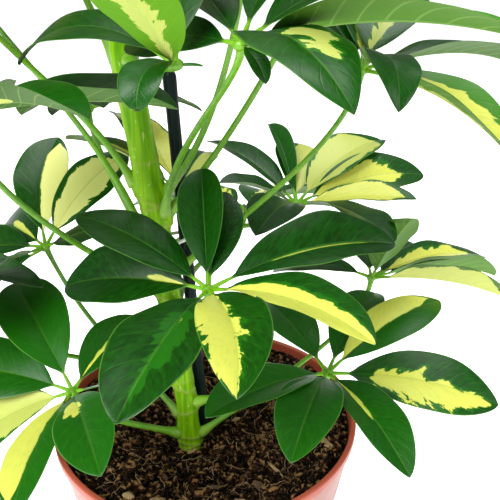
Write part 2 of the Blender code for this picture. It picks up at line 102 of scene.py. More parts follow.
class Shape:
    # gathers the closed surfaces of one piece: points, faces, material numbers and point attributes
    def __init__(self, *attributes):
        self.points, self.quads, self.tris, self.quadSlots, self.triSlots = [], [], [], [], []
        self.attributes = {name: [] for name in attributes}
        self.count = 0

    def addTube(self, rings, slot=0, **attributes):
        # rings (n, m, 3) along a path; each end is closed with a fan to its own middle
        rows, columns = rings.shape[:2]
        points = self.withMiddles(rings)
        around = np.arange(columns)
        ahead = (around + 1) % columns
        base = (rows - 1) * columns
        first = np.stack([np.full(columns, rows * columns), ahead, around], -1)
        last = np.stack([np.full(columns, rows * columns + 1), base + around, base + ahead], -1)
        quads, tris = gridQuads(rows, columns), np.concatenate([first, last])
        corners = np.concatenate([points[quads[:, [0, 1, 2]]], points[quads[:, [0, 2, 3]]], points[tris]])
        corners = corners - points.mean(0)
        if np.einsum("ij,ij->", corners[:, 0], np.cross(corners[:, 1], corners[:, 2])) < 0:
            quads, tris = quads[:, ::-1], tris[:, ::-1]     # a volume below 0 means inside out
        self.points.append(points)
        self.quads.append(quads + self.count)
        self.tris.append(tris + self.count)
        self.quadSlots.append(np.full(len(quads), slot))
        self.triSlots.append(np.full(len(tris), slot))
        for name, gathered in self.attributes.items():
            value = np.asarray(attributes.get(name, (0, 0, 0)), float)
            if value.ndim == 3:
                value = self.withMiddles(value)
            gathered.append(np.broadcast_to(value, (len(points), 3)))
        self.count += len(points)

    def withMiddles(self, rings):
        ends = [rings[:1].mean(1), rings[-1:].mean(1)]
        return np.concatenate([rings.reshape(-1, 3), *ends])

    def build(self, name, materials, smooth=True):
        points = np.concatenate(self.points)
        quads, tris = np.concatenate(self.quads), np.concatenate(self.tris)
        corners = np.concatenate([quads.ravel(), tris.ravel()]).astype(np.int32)
        starts = np.concatenate([np.arange(len(quads)) * 4, len(quads) * 4 + np.arange(len(tris)) * 3])
        mesh = bpy.data.meshes.new(name)
        mesh.vertices.add(len(points))
        mesh.vertices.foreach_set("co", points.astype(np.float32).ravel())
        mesh.loops.add(len(corners))
        mesh.loops.foreach_set("vertex_index", corners)
        mesh.polygons.add(len(starts))
        mesh.polygons.foreach_set("loop_start", starts.astype(np.int32))
        slots = np.concatenate(self.quadSlots + self.triSlots).astype(np.int32)
        mesh.polygons.foreach_set("material_index", slots)
        mesh.polygons.foreach_set("use_smooth", np.full(len(starts), smooth))
        mesh.update(calc_edges=True)
        for attribute, gathered in self.attributes.items():
            layer = mesh.attributes.new(attribute, "FLOAT_VECTOR", "POINT")
            layer.data.foreach_set("vector", np.concatenate(gathered).astype(np.float32).ravel())
        for material in materials:
            mesh.materials.append(material)
        return addObject(name, mesh)


def sidesOf(path):
    # two unit directions square to a path at each of its points, carried along without spinning
    ahead = unitRows(np.gradient(path, axis=0))
    guide = np.array([0.0, 0.0, 1.0]) if abs(ahead[0, 2]) < 0.8 else np.array([1.0, 0.0, 0.0])
    side = np.zeros_like(path)
    for index, direction in enumerate(ahead):
        guide = guide - direction * (guide @ direction)
        guide = guide / np.linalg.norm(guide)
        side[index] = guide
    return side, np.cross(ahead, side)


def tubeRings(path, radius, sides=12):
    # a circle of the given radius carried along the path
    side, other = sidesOf(path)
    angle = fullTurn(sides)[None, :, None]
    radius = np.broadcast_to(radius, len(path))[:, None, None]
    return path[:, None] + radius * (np.cos(angle) * side[:, None] + np.sin(angle) * other[:, None])


def bezier(points, steps):
    # cubic curve through the first and last of four points, pulled by the middle two
    share = np.linspace(0, 1, steps)[:, None]
    a, b, c, d = points
    return ((1 - share) ** 3 * a + 3 * (1 - share) ** 2 * share * b
            + 3 * (1 - share) * share ** 2 * c + share ** 3 * d)


# shader nodes

def tint(red, green, blue):
    # a colour as seen on screen, 0 to 255, turned to the linear values that a shader wants
    screen = np.array([red, green, blue]) / 255
    linear = np.where(screen <= 0.04045, screen / 12.92, ((screen + 0.055) / 1.055) ** 2.4)
    return (*linear.tolist(), 1.0)


class Signal:
    # what a shader's socket gives; + - * and abs add math nodes to its tree
    def __init__(self, tree, socket):
        self.tree, self.socket = tree, socket

    def __add__(self, other):
        return calc("ADD", self, other)

    def __sub__(self, other):
        return calc("SUBTRACT", self, other)

    def __rsub__(self, other):
        return calc("SUBTRACT", other, self)

    def __mul__(self, other):
        return calc("MULTIPLY", self, other)

    def __abs__(self):
        return calc("ABSOLUTE", self)


def setInputs(node, **inputs):
    # each input by its name, with _ for a space, or by its number after an n;
    # a signal is linked and anything else is set
    for name, value in inputs.items():
        socket = node.inputs[int(name[1:]) if name[1:].isdigit() else name.replace("_", " ")]
        if isinstance(value, Signal):
            value.tree.links.new(value.socket, socket)
        else:
            socket.default_value = value


def newNode(tree, kind, settings=None, output=0, **inputs):
    # a node with its own settings and its inputs, and the signal of one of its outputs
    node = tree.nodes.new("ShaderNode" + kind)
    for key, value in (settings or {}).items():
        setattr(node, key, value)
    setInputs(node, **inputs)
    return Signal(tree, node.outputs[output])


def calc(operation, a, b=0.0):
    tree = a.tree if isinstance(a, Signal) else b.tree
    return newNode(tree, "Math", {"operation": operation}, n0=a, n1=b)


def ease(value, low, high, atLow=0.0, atHigh=1.0):
    # low..high turned to atLow..atHigh, held beyond both ends
    return newNode(value.tree, "MapRange", {"interpolation_type": "SMOOTHSTEP"}, Value=value,
                   From_Min=low, From_Max=high, To_Min=atLow, To_Max=atHigh)


def blend(share, a, b):
    # colour a where share is 0, and colour b where it is 1
    return newNode(share.tree, "Mix", {"data_type": "RGBA"}, 2, n0=share, n6=a, n7=b)


def noise(place, scale, detail=3.0, roughness=0.55):
    return newNode(place.tree, "TexNoise", Vector=place, Scale=scale, Detail=detail, Roughness=roughness)


def stretched(place, scale):
    return newNode(place.tree, "Mapping", Vector=place, Scale=scale)


def joined(x, y, z):
    return newNode(x.tree, "CombineXYZ", X=x, Y=y, Z=z)


def parts(vector):
    # its x, y and z
    first = newNode(vector.tree, "SeparateXYZ", Vector=vector)
    return [Signal(vector.tree, socket) for socket in first.socket.node.outputs]


def attribute(place, name):
    # the three numbers of a point attribute
    return parts(newNode(place.tree, "Attribute", {"attribute_name": name}, "Vector"))


def bump(height, strength, distance):
    return newNode(height.tree, "Bump", Height=height, Strength=strength, Distance=distance)


def newMaterial(name):
    # a material, its shader, and the object coordinates that its patterns follow
    material = bpy.data.materials.new(name)
    material.use_nodes = True
    tree = material.node_tree
    return material, tree.nodes["Principled BSDF"], newNode(tree, "TexCoord", output="Object")


def newGroup(name, *numbers):
    # a node group that turns a place and some numbers into one mask
    group = bpy.data.node_groups.new(name, "ShaderNodeTree")
    for label in ("Place", *numbers):
        kind = "NodeSocketVector" if label == "Place" else "NodeSocketFloat"
        group.interface.new_socket(name=label, in_out="INPUT", socket_type=kind)
    group.interface.new_socket(name="Mask", in_out="OUTPUT", socket_type="NodeSocketFloat")
    given = group.nodes.new("NodeGroupInput").outputs
    return group, [Signal(group, given[label]) for label in ("Place", *numbers)]


def closeGroup(group, mask):
    setInputs(group.nodes.new("NodeGroupOutput"), Mask=mask)
    return group


def maskOf(group, place, **numbers):
    return newNode(place.tree, "Group", {"node_tree": group}, "Mask", Place=place, **numbers)


def makeMottle():
    # patchy light and dark: broad noise and fine noise added, pushed towards 0 and 1
    group, (place, broad, fine) = newGroup("mottle", "Broad", "Fine")
    both = noise(place, broad, 2.0) * 0.6 + noise(place, fine, 4.0, 0.6) * 0.4
    return closeGroup(group, ease(both, 0.32, 0.68))


def makeStreaks():
    # long streaks up the plant: noise squeezed along Z, in two finenesses
    group, (place, across, along) = newGroup("streaks", "Across", "Along")
    x, y, z = parts(place)
    squeezed = joined(x * across, y * across, z * along)
    both = noise(squeezed, 1.0, 2.0) * 0.6 + noise(squeezed, 3.7, 3.0, 0.6) * 0.4
    return closeGroup(group, ease(both, 0.35, 0.65))


mottle, streaks = makeMottle(), makeStreaks()


# floor, light and camera

stage = {
    "cameraPlace": (0.0249, -0.3217, 0.396),
    "cameraPitch": 64.95,       # from looking straight down
    "lens": 50,
    "worldStrength": 0.2,
    "floorSize": 120, "floorGlow": 0.8, "floorRoughness": 0.9,
    "floorColours": (tint(250, 250, 250), tint(253, 253, 253)),
    "aim": (0, 0, 0.3),         # where the lamps point
    # each lamp: place, size, power
    "keyLamp": ((-0.9, -1.1, 1.5), 1.1, 52),
    "fillLamp": ((1.3, -0.5, 1.1), 1.0, 12),
    "topLamp": ((0.1, 0.5, 1.9), 1.4, 34),
}


def makeCamera():
    data = bpy.data.cameras.new("camera")
    data.lens = stage["lens"]
    camera = addObject("camera", data)
    camera.location = stage["cameraPlace"]
    camera.rotation_euler = (math.radians(stage["cameraPitch"]), 0, 0)
    bpy.context.scene.camera = camera


def makeLamp(name):
    place, size, power = stage[name]
    data = bpy.data.lights.new(name, "AREA")
    data.size = size
    data.energy = power
    lamp = addObject(name, data)
    lamp.location = place
    aim = Vector(stage["aim"]) - lamp.location
    lamp.rotation_euler = aim.to_track_quat("-Z", "Y").to_euler()


def makeFloor():
    # one square sheet of four corners at height 0, under everything
    half = stage["floorSize"] / 2
    corners = [(-half, -half, 0), (half, -half, 0), (half, half, 0), (-half, half, 0)]
    mesh = bpy.data.meshes.new("floor")
    mesh.from_pydata(corners, [], [(0, 1, 2, 3)])
    material, shader, place = newMaterial("paleFloor")
    setInputs(shader, Base_Color=blend(noise(place, 3.0, 2.0), *stage["floorColours"]),
              Roughness=stage["floorRoughness"], Emission_Color=(1, 1, 1, 1),
              Emission_Strength=stage["floorGlow"])
    mesh.materials.append(material)
    floor = addObject("floor", mesh)


def makeWorld():
    # its light is weak, but seen directly, past the floor's far edge, it is as white as the floor
    world = bpy.data.worlds.new("softWhite")
    world.use_nodes = True
    tree = world.node_tree
    direct = newNode(tree, "LightPath", output="Is Camera Ray")
    setInputs(tree.nodes["Background"], Color=(1, 1, 1, 1),
              Strength=calc("MAXIMUM", direct, stage["worldStrength"]))
    bpy.context.scene.world = world


bpy.context.scene.view_settings.view_transform = "Standard"
makeWorld()
makeCamera()
for lampName in ("keyLamp", "fillLamp", "topLamp"):
    makeLamp(lampName)
makeFloor()
print("floor, light and camera made")


# pot: a turned shell with a rolled lip, and drain holes through its floor

pot = {
    "segments": 160,
    "height": 145, "rim": 85, "base": 60, "wall": 2.0, "floor": 3, "middle": 0.4,
    "lipStep": 1.8, "lipWidth": 3.0, "lipDepth": 5.5, "lipTaper": 0.4,
    "holes": 8, "holeRadius": 4.5, "holeCircle": 47, "holeSides": 24,
    "cutFrom": -5, "cutTo": 8,
    # the wall's colour is terracotta with a painted sheen, paler and pinker than the lip
    "rimColour": tint(166, 76, 56), "wallColourWithSheen": tint(146, 94, 86),
    "cloudColour": tint(168, 66, 48), "scuffColour": tint(228, 176, 160),
}
lipFoot = pot["height"] - pot["lipDepth"]


def outerRadius(height):
    share = min(height / lipFoot, 1)
    return pot["base"] + share * (pot["rim"] - pot["lipStep"] - pot["base"])


def innerRadius(height):
    # nearly upright inside the lip, and one wall inside the outer face below it
    share = max(height - lipFoot, 0) / pot["lipDepth"]
    narrow = outerRadius(height) - pot["wall"]
    return narrow + share * (pot["rim"] - pot["lipWidth"] - narrow)


def roundedProfile(corners, steps=5):
    # corners of (radius, height, rounding): each is replaced by an arc-like curve that cuts it off
    points = []
    for index, (radius, height, rounding) in enumerate(corners):
        here = np.array([radius, height], float)
        if rounding == 0:
            points.append(here)
            continue
        before = np.array(corners[index - 1][:2], float) - here
        after = np.array(corners[(index + 1) % len(corners)][:2], float) - here
        start = here + before / np.linalg.norm(before) * rounding
        end = here + after / np.linalg.norm(after) * rounding
        share = np.linspace(0, 1, steps)[:, None]
        points.extend((1 - share) ** 2 * start + 2 * (1 - share) * share * here + share ** 2 * end)
    return np.array(points)


def makePotMaterial():
    material, shader, place = newMaterial("terracottaPlastic")
    height = parts(place)[2]
    lip = ease(height, lipFoot * mm - 0.0008, lipFoot * mm + 0.0004)
    clouds = maskOf(mottle, place, Broad=9.0, Fine=70.0)
    scuffs = maskOf(mottle, place, Broad=60.0, Fine=400.0)
    low = ease(height, 0.0, 0.03, 0.25, 0.0)            # scuffed towards the foot
    # the wall below the lip is terracotta paled to a pinker tone by a painted sheen of hazy light
    body = blend(lip, pot["wallColourWithSheen"], pot["rimColour"])
    body = blend(clouds * 0.22, body, pot["cloudColour"])
    body = blend(low * scuffs, body, pot["scuffColour"])
    # fine rings left by the mould, and a grain
    rings = noise(stretched(place, (1, 1, 40)), 14.0, 2.0)
    grain = rings + noise(place, 900.0, 2.0) * 0.4
    setInputs(shader, Base_Color=body, Roughness=ease(clouds, 0, 1, 0.34, 0.46),
              Specular_IOR_Level=0.35, Normal=bump(grain, 0.12, 0.0004))
    return material


def makePot():
    # the profile (radius, height) runs from the middle of the floor up inside, over the lip and
    # down outside, and is carried round the Z axis
    height, rim, floor, middle = pot["height"], pot["rim"], pot["floor"], pot["middle"]
    corners = [(middle, floor, 0), (innerRadius(floor), floor, 2.0), (innerRadius(lipFoot), lipFoot, 1.5),
               (innerRadius(height), height, 1.0), (rim, height, 1.3), (rim - pot["lipTaper"], lipFoot, 0.7),
               (outerRadius(lipFoot), lipFoot, 0.4), (outerRadius(0), 0, 2.0), (middle, 0, 0)]
    profile = roundedProfile(corners) * mm
    shell = Shape()
    shell.addTube(aroundZ(profile[:, :1], fullTurn(pot["segments"]), profile[:, 1:]))
    piece = shell.build("potShell", [makePotMaterial()])
    cutters = []
    for index in range(pot["holes"]):
        centre = aroundZ(pot["holeCircle"], 2 * math.pi * (index + 0.5) / pot["holes"], 0)
        post = centre + np.array([(0, 0, pot["cutFrom"]), (0, 0, 0), (0, 0, pot["cutTo"])])
        bore = Shape()
        bore.addTube(tubeRings(post * mm, pot["holeRadius"] * mm, pot["holeSides"]))
        cutters.append(bore.build("drainCutter", []))
        cut = piece.modifiers.new("drain", "BOOLEAN")
        cut.object = cutters[-1]
        cut.solver = "EXACT"
    graph = bpy.context.evaluated_depsgraph_get()
    mesh = bpy.data.meshes.new_from_object(piece.evaluated_get(graph))
    piece.modifiers.clear()
    piece.data = mesh
    mesh.set_sharp_from_angle(angle=math.radians(50))
    for cutter in cutters:
        bpy.data.objects.remove(cutter)
    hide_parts("pot")
    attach(piece, "root")


makePot()
print("pot made")


# compost: a rough mound, crumbs, fibres and chips of bark on it

soil = {
    "crown": 141.8, "edge": 139.4,
    "rings": 132, "segments": 340, "gap": 0.3,
    "roughness": 3.6, "calm": 0.35,     # calm: the share of the roughness that is lost at the wall
    "grain": 1.9, "grainTall": 0.45, "lump": 13, "lumpTall": 0.405,
    "crumbs": 1300, "crumbSize": (0.7, 2.0),
    "grit": 6000, "gritSize": (0.3, 0.95),
    "dents": (0.6, 1.15), "squash": (0.6, 1.3),     # how far crumbs and grit differ from balls
    "fibres": 900, "fibreLong": (2.5, 12.5), "fibreThick": (0.08, 0.22), "fibreRaise": (0.2, 1.3),
    "chips": 46, "chipLong": (4, 13), "chipWide": (0.9, 2.2), "chipFlat": (0.3, 0.7),
    "chipTilt": 0.35, "chipRaise": 1.0,
    "black": tint(3, 1, 0), "dark": tint(12, 6, 3), "brown": tint(56, 32, 18), "light": tint(128, 96, 60),
    "tanFibre": (tint(170, 142, 102), tint(112, 84, 54)),
    "barkBrown": (tint(96, 64, 42), tint(44, 30, 20)),
}


def soilGrains(x, y):
    # the fine part of the roughness, low in the gaps and high on the grains
    return roughNoise(x / soil["grain"] + 9, y / soil["grain"] + 9, 11, 2, 0.75)


def soilHeight(x, y):
    # a low dome with rough noise on it that calms down near the pot's wall; x and y in millimetres
    reach = np.hypot(x, y) / innerRadius(soil["edge"])
    dome = soil["crown"] - (soil["crown"] - soil["edge"]) * reach ** 2
    lumps = roughNoise(x / soil["lump"] + 20, y / soil["lump"] + 20, 5, 3)
    rough = soil["lumpTall"] * lumps + soil["grainTall"] * soilGrains(x, y)
    return dome + soil["roughness"] * rough * (1 - soil["calm"] * reach ** 6)


def makeSoilMaterial(name, light, scale):
    # the tone attribute says how pale a grain is: 0 in a gap, which is painted shade, and 1 on a pale crumb;
    # on the mound it follows the grain heights, on the crumbs it is drawn at random
    material, shader, place = newMaterial(name)
    patches = maskOf(mottle, place, Broad=scale * 2, Fine=scale * 11)
    tone = attribute(place, "tone")[0]
    specks = ease(noise(place, scale * 11, 2.0, 0.7), 0.6, 0.72)
    base = blend(patches, soil["dark"], soil["brown"])
    # painted shade: a low tone, as in the mound's gaps, turns near black
    base = blend(ease(tone, 0.0, 0.45), soil["black"], base)
    base = blend(ease(tone, 0.62, 1.0), base, soil["light"])
    base = blend(specks * light, base, soil["light"])
    grain = noise(place, scale * 8, 4.0, 0.7) + patches
    setInputs(shader, Base_Color=base, Roughness=ease(patches, 0, 1, 0.95, 0.7),
              Specular_IOR_Level=0.08, Normal=bump(grain, 0.7, 0.0012))
    return material


def makeMound(material):
    # polar grid: radius grows with the ring and height comes from soilHeight; its side and
    # underside are three plain rings just inside the pot
    angle = fullTurn(soil["segments"])
    radius = np.linspace(0.3, innerRadius(soil["edge"]) - 0.25, soil["rings"])[:, None]
    x, y = radius * np.cos(angle), radius * np.sin(angle)
    lower = [aroundZ(innerRadius(height) - soil["gap"], angle, height)
             for height in (lipFoot, pot["floor"] + 0.4)]
    lower.append(lower[-1] * (0.02, 0.02, 1))
    # painted shade: the tone follows the grain heights, so the low gaps are coloured darker
    tone = np.concatenate([0.2 + 1.1 * soilGrains(x, y), np.full((len(lower), soil["segments"]), 0.3)])
    mound = Shape("tone")
    mound.addTube(np.concatenate([np.stack([x, y, soilHeight(x, y)], -1), lower]) * mm,
                  tone=np.stack([tone] * 3, -1))
    piece = mound.build("compost", [material])
    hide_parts("soil")
    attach(piece, "root")


def scatter(count, seed, reach=0.97):
    # even places over the mound, as millimetres from the pot's middle
    pick = np.random.default_rng(seed)
    radius = innerRadius(soil["edge"]) * reach * np.sqrt(pick.uniform(0.0004, 1, count))
    angle = pick.uniform(0, 2 * np.pi, count)
    return radius * np.cos(angle), radius * np.sin(angle), pick


def layOn(shape, name, materials, smooth=True):
    # a loose piece on the mound, which stands for no node of its own
    piece = shape.build(name, materials, smooth)
    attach(piece, "root")


def makeCrumbs(name, kind, seed, rows, columns, material):
    # lumps: rows rings of columns points round each middle, pushed in and out at random
    count = soil[kind]
    x, y, pick = scatter(count, seed)
    small, large = soil[kind.removesuffix("s") + "Size"]
    size = small + (large - small) * pick.uniform(0, 1, count) ** 3
    z = soilHeight(x, y) + 0.25 * size
    shade = pick.uniform(0, 1, count) ** 2.6
    tilt = np.radians(np.linspace(-62, 62, rows))[:, None]
    ball = aroundZ(np.cos(tilt), fullTurn(columns), np.sin(tilt))
    crumbs = Shape("tone")
    for index in range(count):
        lump = ball * pick.uniform(*soil["dents"], (rows, columns, 1)) * size[index]
        lump = lump * pick.uniform(*soil["squash"], 3)
        crumbs.addTube((lump + (x[index], y[index], z[index])) * mm, tone=shade[index] * np.ones(3))
    layOn(crumbs, name, [material], smooth=False)


def makeFibres(materials):
    # thin bent threads of peat, each a tube along its own curve
    fibres = Shape()
    x, y, pick = scatter(soil["fibres"], 33, 0.94)
    shortest, longest = soil["fibreLong"]
    taper = np.array([0.4, 0.8, 1, 1, 1, 1, 1, 0.8, 0.4])
    for index in range(len(x)):
        heading = pick.uniform(0, 2 * np.pi)
        long = shortest + (longest - shortest) * pick.uniform(0, 1) ** 2
        along = np.linspace(-0.5, 0.5, len(taper)) * long
        bend = pick.uniform(-0.06, 0.06) * along ** 2 + 0.12 * np.sin(along * pick.uniform(0.3, 1.0))
        pathX = x[index] + along * math.cos(heading) - bend * math.sin(heading)
        pathY = y[index] + along * math.sin(heading) + bend * math.cos(heading)
        over = np.hypot(pathX, pathY) / (innerRadius(soil["edge"]) - 1.5)
        pathX, pathY = pathX / np.maximum(over, 1), pathY / np.maximum(over, 1)
        pathZ = soilHeight(pathX, pathY) + pick.uniform(*soil["fibreRaise"])
        thick = pick.uniform(*soil["fibreThick"]) * taper
        fibres.addTube(tubeRings(np.stack([pathX, pathY, pathZ], -1) * mm, thick * mm, 5),
                       int(pick.integers(0, 2)))
    layOn(fibres, "compostFibres", materials)


def makeChips(materials):
    # splinters: a flattened bar of uneven width, tipped a little and lying on the mound
    chips = Shape()
    x, y, pick = scatter(soil["chips"], 47, 0.9)
    width = np.array([0.35, 0.8, 1, 0.95, 1, 0.7, 0.3])
    along, angle = np.linspace(-0.5, 0.5, len(width))[:, None], fullTurn(8)
    for index in range(len(x)):
        heading, long = pick.uniform(0, 2 * np.pi), pick.uniform(*soil["chipLong"])
        wide, flat = pick.uniform(*soil["chipWide"]), pick.uniform(*soil["chipFlat"])
        body = (width * pick.uniform(0.8, 1.2, len(width)))[:, None]
        bar = np.stack(np.broadcast_arrays(along * long, wide * body * np.cos(angle),
                                           flat * body * np.sin(angle)), -1)
        tilt = soil["chipTilt"] * pick.uniform(-1, 1)
        bar = bar @ np.array([[math.cos(tilt), 0, math.sin(tilt)], [0, 1, 0],
                              [-math.sin(tilt), 0, math.cos(tilt)]])
        turned = bar @ np.array([[math.cos(heading), math.sin(heading), 0],
                                 [-math.sin(heading), math.cos(heading), 0], [0, 0, 1]])
        place = (x[index], y[index], float(soilHeight(x[index], y[index])) + soil["chipRaise"])
        chips.addTube((turned + place) * mm, int(pick.integers(0, 2)))
    layOn(chips, "barkChips", materials, smooth=False)


def makeFibreMaterial(name):
    material, shader, place = newMaterial(name)
    change = maskOf(mottle, place, Broad=45.0, Fine=300.0)
    setInputs(shader, Base_Color=blend(change, *soil[name]), Roughness=0.8,
              Normal=bump(noise(place, 900.0, 3.0), 0.5, 0.0004))
    return material


makeMound(makeSoilMaterial("compostEarth", 0.75, 60.0))
crumbMaterial = makeSoilMaterial("compostCrumb", 0.6, 140.0)
makeCrumbs("compostCrumbs", "crumbs", 21, 4, 6, crumbMaterial)
makeCrumbs("compostGrit", "grit", 22, 3, 5, crumbMaterial)
fibreMaterials = [makeFibreMaterial("tanFibre"), makeFibreMaterial("barkBrown")]
makeFibres(fibreMaterials)
makeChips(fibreMaterials)
print("compost made")


# stem: a trunk with swollen joints where the leaves leave it

stem = {
    "route": np.array([     # x, y, z, radius
        (-7.6, -26, 127, 5.7), (-7.5, -26, 143, 5.6), (-7.7, -26, 156, 5.4), (-8.4, -26, 172, 5.4),
        (-11.8, -26, 208, 5.6), (-15.8, -26, 246, 5.8), (-19.2, -26, 280, 6.1), (-20.6, -26, 292, 6.3),
        (-23.2, -26, 312, 6.1), (-27.7, -26, 348, 6.0), (-31, -25, 376, 5.6), (-34, -23, 412, 5.0),
        (-35, -20, 450, 4.3), (-34, -17, 490, 3.4), (-33, -16, 514, 2.6)]),
    "rings": 380, "sides": 72,
    "wave": (0.03, 26), "grain": (0.012, 5),    # ripples: share of the radius, and their length
    "swell": 2.0, "ridge": 0.32,                # at the foot of each leaf's stalk
    "scarSwell": 0.45, "scarRidge": 0.22,       # at each old leaf scar
    "scarHeights": (186, 214, 262, 303, 330, 366, 396, 428, 458),
    "light": tint(136, 186, 8), "green": tint(74, 138, 0), "dark": tint(46, 100, 0),
    "scarColour": tint(150, 150, 78), "poreColour": tint(196, 200, 128),
}


def stemAt(height, column):
    # one column of the route, read at a height
    return np.interp(height, stem["route"][:, 2], stem["route"][:, column])


def stemPoint(height):
    return np.stack(np.broadcast_arrays(stemAt(height, 0), stemAt(height, 1), height), -1)


def turnGap(a, b):
    # how far two bearings in radians are apart, 0 to pi
    return np.abs((a - b + np.pi) % (2 * np.pi) - np.pi)


def bell(distance, width):
    # 1 in the middle, falling away to 0 on both sides
    return np.exp(-(distance / width) ** 2)


def makeStemMaterial():
    material, shader, place = newMaterial("greenBark")
    broad = maskOf(streaks, place, Across=150.0, Along=9.0)
    fine = maskOf(streaks, place, Across=380.0, Along=16.0)
    scar = attribute(place, "ring")[0]
    pores = ease(noise(stretched(place, (1, 1, 0.45)), 520.0, 1.0), 0.68, 0.74)
    colour = blend(broad, stem["green"], stem["light"])
    colour = blend(fine * 0.45, colour, stem["dark"])
    colour = blend(scar * 0.5, colour, stem["scarColour"])
    colour = blend(pores * 0.35, colour, stem["poreColour"])
    height = broad * 0.5 + (pores * 0.5 + scar)
    setInputs(shader, Base_Color=colour, Roughness=ease(fine, 0, 1, 0.3, 0.46),
              Specular_IOR_Level=0.12, Normal=bump(height, 0.35, 0.0006))
    return material


def makeStem(feet):
    # a circle carried up the route; its radius swells by a bell-shaped bump round each stalk's foot
    # and by a thin ridge at each old leaf scar, and ripples a little round and along
    low, high = stem["route"][0, 2] - 0.5, stem["route"][-1, 2]
    z, around = np.meshgrid(np.linspace(low, high, stem["rings"]), fullTurn(stem["sides"]), indexing="ij")
    ripple = around * 10 / np.pi
    (waveTall, waveLong), (grainTall, grainLong) = stem["wave"], stem["grain"]
    radius = stemAt(z, 3) * (1 + waveTall * latticeNoise(ripple + 3, z / waveLong, 3)
                             + grainTall * roughNoise(ripple + 5, z / grainLong, 8, 2))
    radius = radius * (1 - 0.5 * smoothStep(high - 6, high + 4, z))
    scar = np.zeros_like(z)
    for foot, bearing in feet:
        gap = turnGap(around, bearing)
        ring = bell(z - foot + 6.5 - 1.6 * np.cos(gap), 0.8)
        radius = radius + stem["swell"] * bell(z - foot + 1, 5.5) * bell(gap, 0.62) + stem["ridge"] * ring
        scar = np.maximum(scar, ring)
    for index, scarHeight in enumerate(stem["scarHeights"]):
        gap = turnGap(around, 2.4 * index + 0.4)
        ring = bell(z - scarHeight - 1.2 * np.cos(gap), 0.7)
        mark = bell(z - scarHeight + 1.5, 2.2) * bell(gap, 0.6)
        radius = radius + stem["scarRidge"] * ring + stem["scarSwell"] * mark
        scar = np.maximum(scar, np.maximum(0.6 * ring, mark))
    trunk = Shape("ring")
    trunk.addTube((stemPoint(z) + aroundZ(radius, around, 0)) * mm,
                  ring=np.stack([scar, scar * 0, scar * 0], -1))
    piece = trunk.build("trunk", [makeStemMaterial()])
    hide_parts("stem")
    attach(piece, "root")


# cane and tie

cane = {
    "radius": 3.0, "foot": np.array([1.6, -18.2, 105]), "top": np.array([-10.1, -18.2, 340]),
    "sides": 28, "steps": 60, "domeSteps": 8, "domeShare": 0.015, "ripple": 0.03,
    "colour": tint(7, 20, 17), "worn": tint(18, 38, 32),
}
tie = {
    "height": 262, "radius": 0.85, "slack": (0.5, 0.3),     # off the stem and off the cane
    "end": ((0, 0, 0), (1.5, -2.2, 1.5), (3.4, -3.4, 0.2), (4.6, -3.6, -2.8)),
    "knotHalf": 1.6, "knotThick": 1.7, "knotPlace": 20,     # the loop's step that the knot is at
    "arcSteps": 28, "endSteps": 14, "knotSteps": 9,
    "colours": (tint(226, 228, 218), tint(196, 198, 186)),
}


def makeCane():
    # a straight bar whose radius ripples slightly, rounded over at the top like a dome
    material, shader, place = newMaterial("coatedCane")
    wear = maskOf(streaks, place, Across=260.0, Along=20.0)
    grain = noise(stretched(place, (1, 1, 0.3)), 420.0, 3.0)
    setInputs(shader, Base_Color=blend(wear * 0.55, cane["colour"], cane["worn"]),
              Roughness=ease(wear, 0, 1, 0.34, 0.55), Specular_IOR_Level=0.1,
              Normal=bump(grain, 0.4, 0.0005))
    straight = 1 - cane["domeShare"]
    rise = np.linspace(0.1, 1, cane["domeSteps"]) * np.pi / 2
    fall = np.linspace(0.1, 0.97, cane["domeSteps"]) * np.pi / 2
    share = np.concatenate([np.linspace(0, straight, cane["steps"]),
                            straight + cane["domeShare"] * np.sin(rise)])
    radius = np.concatenate([np.ones(cane["steps"]), np.cos(fall)]) * cane["radius"]
    radius = radius * (1 + cane["ripple"] * latticeNoise(share * 31, share * 0, 4))
    path = cane["foot"] + share[:, None] * (cane["top"] - cane["foot"])
    bar = Shape()
    bar.addTube(tubeRings(path * mm, radius * mm, cane["sides"]))
    piece = bar.build("plantCane", [material])
    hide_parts("cane")
    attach(piece, "root")


def makeTie():
    # a closed loop round stem and cane: two arcs about their middles; then its two loose ends and
    # the small knot between them
    material, shader, place = newMaterial("softTie")
    fluff = noise(place, 1400.0, 3.0)
    setInputs(shader, Base_Color=blend(fluff, *tie["colours"]), Roughness=0.7,
              Normal=bump(fluff, 0.5, 0.0004))
    height, thick = tie["height"], tie["radius"]
    middle = stemPoint(height)
    share = (height - cane["foot"][2]) / (cane["top"][2] - cane["foot"][2])
    post = cane["foot"] + (cane["top"] - cane["foot"]) * share
    x, y = (post - middle)[:2]
    facing = math.atan2(y, x)
    wide = stemAt(height, 3) + thick + tie["slack"][0]
    narrow = cane["radius"] + thick + tie["slack"][1]
    slope = math.acos((wide - narrow) / math.hypot(x, y))
    steps = tie["arcSteps"]
    loop = np.concatenate([
        middle + aroundZ(wide, np.linspace(facing + slope, facing + 2 * math.pi - slope, steps), 0),
        post + aroundZ(narrow, np.linspace(facing - slope, facing + slope, steps), 0)])
    band = Shape()
    band.addTube(tubeRings(np.concatenate([loop, loop[:1]]) * mm, thick * mm, 12))
    start = loop[tie["knotPlace"]] + (0, -1.0, 0)
    for side in (-1, 1):
        path = bezier(start + np.array(tie["end"]) * (side, 1, 1), tie["endSteps"])
        band.addTube(tubeRings(path * mm, thick * 0.9 * mm, 10))
    share = np.linspace(-1, 1, tie["knotSteps"])
    knot = start + share[:, None] * tie["knotHalf"] * np.array([1.0, 0.0, 0.2])
    swell = np.sqrt(1 - (0.97 * share) ** 2) * tie["knotThick"]
    band.addTube(tubeRings(knot * mm, swell * mm, 12))
    piece = band.build("tieLoop", [material])
    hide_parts("plant_tie")
    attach(piece, "root")


makeCane()
makeTie()
print("cane and tie made")


# leaves: a stalk, a small knob and a whorl of leaflets, each leaflet on a short stalk of its own

